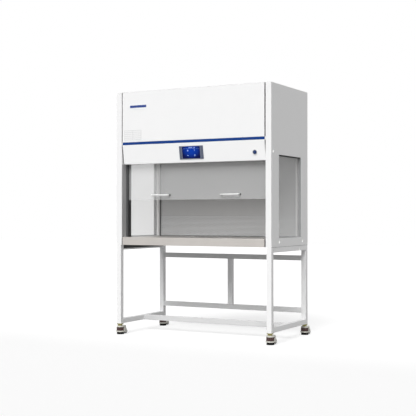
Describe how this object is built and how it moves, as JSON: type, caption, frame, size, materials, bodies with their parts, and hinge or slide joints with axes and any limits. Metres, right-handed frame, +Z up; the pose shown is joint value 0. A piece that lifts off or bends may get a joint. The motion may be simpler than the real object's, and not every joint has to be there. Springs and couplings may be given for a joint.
{
  "type": "laminar flow hood",
  "caption": "Vertical laminar flow hood on a tube stand: sliding glass sash, side windows, steel worktop, filter and blower in the head, levelling casters.",
  "frame": {"origin": "on the floor, in the middle of the footprint that includes the trailing casters", "axes": "+X to the user's right across the front, +Y from the open front to the back, +Z up"},
  "size_m": [1.3313, 0.7295, 1.85],
  "materials": {
    "cabinet_paint": "semi-gloss white powder coat",
    "stand_paint": "semi-gloss white powder coat",
    "stainless": "brushed along its length",
    "clear_glass": "clear tempered",
    "strip_blue": "satin",
    "dark_aluminium": "anodised",
    "handle_paint": "satin",
    "bezel_plastic": "fine texture",
    "display": "glossy screen",
    "button_blue": "glossy",
    "diffuser_white": "satin",
    "filter_media": "pleated glass-fibre paper",
    "galvanised": "galvanised",
    "motor_paint": "satin",
    "lamp_white": "opal tube",
    "yellow_zinc": "yellow passivated zinc",
    "caster_ivory": "satin",
    "dial_brown": "moulded",
    "pad_rubber": "matte",
    "wheel_nylon": "moulded"
  },
  "bodies": {
    "cabinet": {"accent_strip": "strip_blue", "back_cover": "cabinet_paint", "back_grille": "cabinet_paint", "back_middle_rail": "stand_paint", "back_strut": "stand_paint", "back_top_rail": "stand_paint", "base_pan": "cabinet_paint", "blower_housing": "galvanised", "blower_motor": "motor_paint", "button_ring": "bezel_plastic", "caster_plates": "yellow_zinc", "ceiling_diffuser": "diffuser_white", "control_box": "galvanised", "control_panel": "cabinet_paint", "foot_cross_rail": "stand_paint", "foot_side_rail_left": "stand_paint", "foot_side_rail_right": "stand_paint", "front_panel": "cabinet_paint", "head_beam": "cabinet_paint", "hepa_filter": "filter_media", "lamp_holders": "bezel_plastic", "lamp_tubes": "lamp_white", "leg_back_left": "stand_paint", "leg_back_right": "stand_paint", "leg_front_left": "stand_paint", "leg_front_right": "stand_paint", "plenum_box": "galvanised", "prefilter": "filter_media", "sash_guides": "dark_aluminium", "screen_bezel": "bezel_plastic", "screen_glass": "display", "side_screws": "stainless", "side_wall_left": "cabinet_paint", "side_wall_right": "cabinet_paint", "side_windows": "clear_glass", "top_cover": "cabinet_paint", "top_rail_left": "stand_paint", "top_rail_right": "stand_paint", "work_surface": "stainless", "worktop_ledges": "cabinet_paint"},
    "sash": {"sash_glass": "clear_glass", "sash_handles": "handle_paint"},
    "start_button": {"start_button": "button_blue"},
    "impeller": {"blower_impeller": "galvanised"},
    "caster_body_front_left": {"caster_body_front_left": "caster_ivory"},
    "caster_wheel_front_left": {"caster_wheel_front_left": "wheel_nylon"},
    "caster_dial_front_left": {"caster_dial_front_left": "dial_brown"},
    "caster_pad_front_left": {"caster_pad_front_left": "pad_rubber"},
    "caster_body_front_right": {"caster_body_front_right": "caster_ivory"},
    "caster_wheel_front_right": {"caster_wheel_front_right": "wheel_nylon"},
    "caster_dial_front_right": {"caster_dial_front_right": "dial_brown"},
    "caster_pad_front_right": {"caster_pad_front_right": "pad_rubber"},
    "caster_body_back_left": {"caster_body_back_left": "caster_ivory"},
    "caster_wheel_back_left": {"caster_wheel_back_left": "wheel_nylon"},
    "caster_dial_back_left": {"caster_dial_back_left": "dial_brown"},
    "caster_pad_back_left": {"caster_pad_back_left": "pad_rubber"},
    "caster_body_back_right": {"caster_body_back_right": "caster_ivory"},
    "caster_wheel_back_right": {"caster_wheel_back_right": "wheel_nylon"},
    "caster_dial_back_right": {"caster_dial_back_right": "dial_brown"},
    "caster_pad_back_right": {"caster_pad_back_right": "pad_rubber"}
  },
  "joints": [
    {"name": "sash_slide", "type": "slide", "parent": "cabinet", "child": "sash", "axis": [0, 0, 1], "range_m": [-0.281, 0.215]},
    {"name": "button_press", "type": "slide", "parent": "cabinet", "child": "start_button", "axis": [0, 0.9868, 0.1622], "range_m": [0, 0.003], "stiffness_N_per_m": 400, "springref_m": -0.001},
    {"name": "impeller_spin", "type": "hinge", "parent": "cabinet", "child": "impeller", "pos_m": [0, -0.01815, 1.6702], "axis": [1, 0, 0], "continuous": true},
    {"name": "swivel_front_left", "type": "hinge", "parent": "cabinet", "child": "caster_body_front_left", "pos_m": [-0.631, -0.3335, 0.06], "axis": [0, 0, 1], "continuous": true},
    {"name": "wheel_front_left", "type": "hinge", "parent": "caster_body_front_left", "child": "caster_wheel_front_left", "pos_m": [-0.6178, -0.28424, 0.019], "axis": [0.9659, -0.2588, 0], "continuous": true},
    {"name": "dial_front_left", "type": "hinge", "parent": "caster_body_front_left", "child": "caster_dial_front_left", "pos_m": [-0.62996, -0.32964, 0.041], "axis": [0, 0, 1], "range_deg": [0, 1440.2]},
    {"name": "foot_front_left", "type": "slide", "parent": "caster_body_front_left", "child": "caster_pad_front_left", "axis": [0, 0, 1], "range_m": [0, 0.01]},
    {"name": "swivel_front_right", "type": "hinge", "parent": "cabinet", "child": "caster_body_front_right", "pos_m": [0.631, -0.3335, 0.06], "axis": [0, 0, 1], "continuous": true},
    {"name": "wheel_front_right", "type": "hinge", "parent": "caster_body_front_right", "child": "caster_wheel_front_right", "pos_m": [0.6442, -0.28424, 0.019], "axis": [0.9659, -0.2588, 0], "continuous": true},
    {"name": "dial_front_right", "type": "hinge", "parent": "caster_body_front_right", "child": "caster_dial_front_right", "pos_m": [0.63204, -0.32964, 0.041], "axis": [0, 0, 1], "range_deg": [0, 1440.2]},
    {"name": "foot_front_right", "type": "slide", "parent": "caster_body_front_right", "child": "caster_pad_front_right", "axis": [0, 0, 1], "range_m": [0, 0.01]},
    {"name": "swivel_back_left", "type": "hinge", "parent": "cabinet", "child": "caster_body_back_left", "pos_m": [-0.631, 0.2985, 0.06], "axis": [0, 0, 1], "continuous": true},
    {"name": "wheel_back_left", "type": "hinge", "parent": "caster_body_back_left", "child": "caster_wheel_back_left", "pos_m": [-0.6178, 0.34776, 0.019], "axis": [0.9659, -0.2588, 0], "continuous": true},
    {"name": "dial_back_left", "type": "hinge", "parent": "caster_body_back_left", "child": "caster_dial_back_left", "pos_m": [-0.62996, 0.30236, 0.041], "axis": [0, 0, 1], "range_deg": [0, 1440.2]},
    {"name": "foot_back_left", "type": "slide", "parent": "caster_body_back_left", "child": "caster_pad_back_left", "axis": [0, 0, 1], "range_m": [0, 0.01]},
    {"name": "swivel_back_right", "type": "hinge", "parent": "cabinet", "child": "caster_body_back_right", "pos_m": [0.631, 0.2985, 0.06], "axis": [0, 0, 1], "continuous": true},
    {"name": "wheel_back_right", "type": "hinge", "parent": "caster_body_back_right", "child": "caster_wheel_back_right", "pos_m": [0.6442, 0.34776, 0.019], "axis": [0.9659, -0.2588, 0], "continuous": true},
    {"name": "dial_back_right", "type": "hinge", "parent": "caster_body_back_right", "child": "caster_dial_back_right", "pos_m": [0.63204, 0.30236, 0.041], "axis": [0, 0, 1], "range_deg": [0, 1440.2]},
    {"name": "foot_back_right", "type": "slide", "parent": "caster_body_back_right", "child": "caster_pad_back_right", "axis": [0, 0, 1], "range_m": [0, 0.01]}
  ],
  "couplings": [
    {"joint": "dial_front_left", "follows": "foot_front_left", "rad_per_m": 2513.3},
    {"joint": "dial_front_right", "follows": "foot_front_right", "rad_per_m": 2513.3},
    {"joint": "dial_back_left", "follows": "foot_back_left", "rad_per_m": 2513.3},
    {"joint": "dial_back_right", "follows": "foot_back_right", "rad_per_m": 2513.3}
  ]
}
